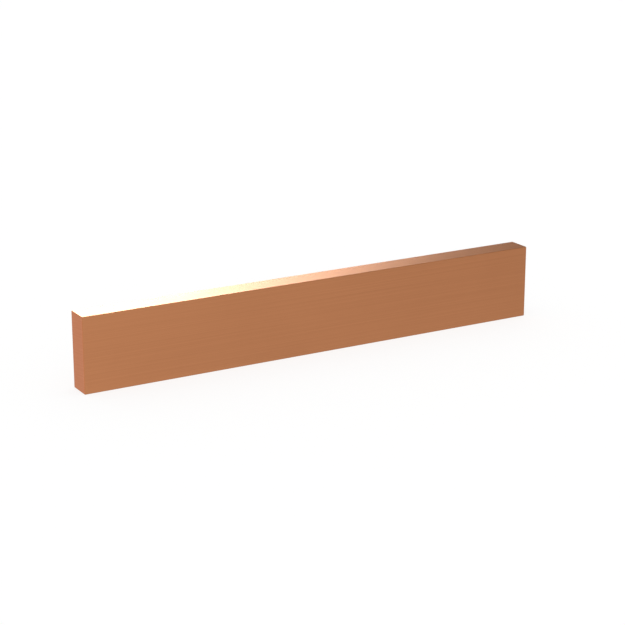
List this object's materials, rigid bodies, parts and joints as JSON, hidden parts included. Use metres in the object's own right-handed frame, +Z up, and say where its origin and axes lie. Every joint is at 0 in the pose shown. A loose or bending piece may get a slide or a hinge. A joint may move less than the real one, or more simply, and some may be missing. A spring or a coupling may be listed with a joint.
{
  "type": "copper busbar",
  "caption": "Plain solid copper flat bar of rectangular section, cut square to a short length, for carrying current between connections.",
  "frame": {"origin": "middle of the narrow long side that the bar stands on", "axes": "+X along the bar, +Y through its thickness from the front wide face to the back one, +Z up its width"},
  "size_m": [0.2, 0.01, 0.03],
  "materials": {
    "copper": "satin"
  },
  "bodies": {
    "root": {"busbar": "copper"}
  },
  "joints": []
}
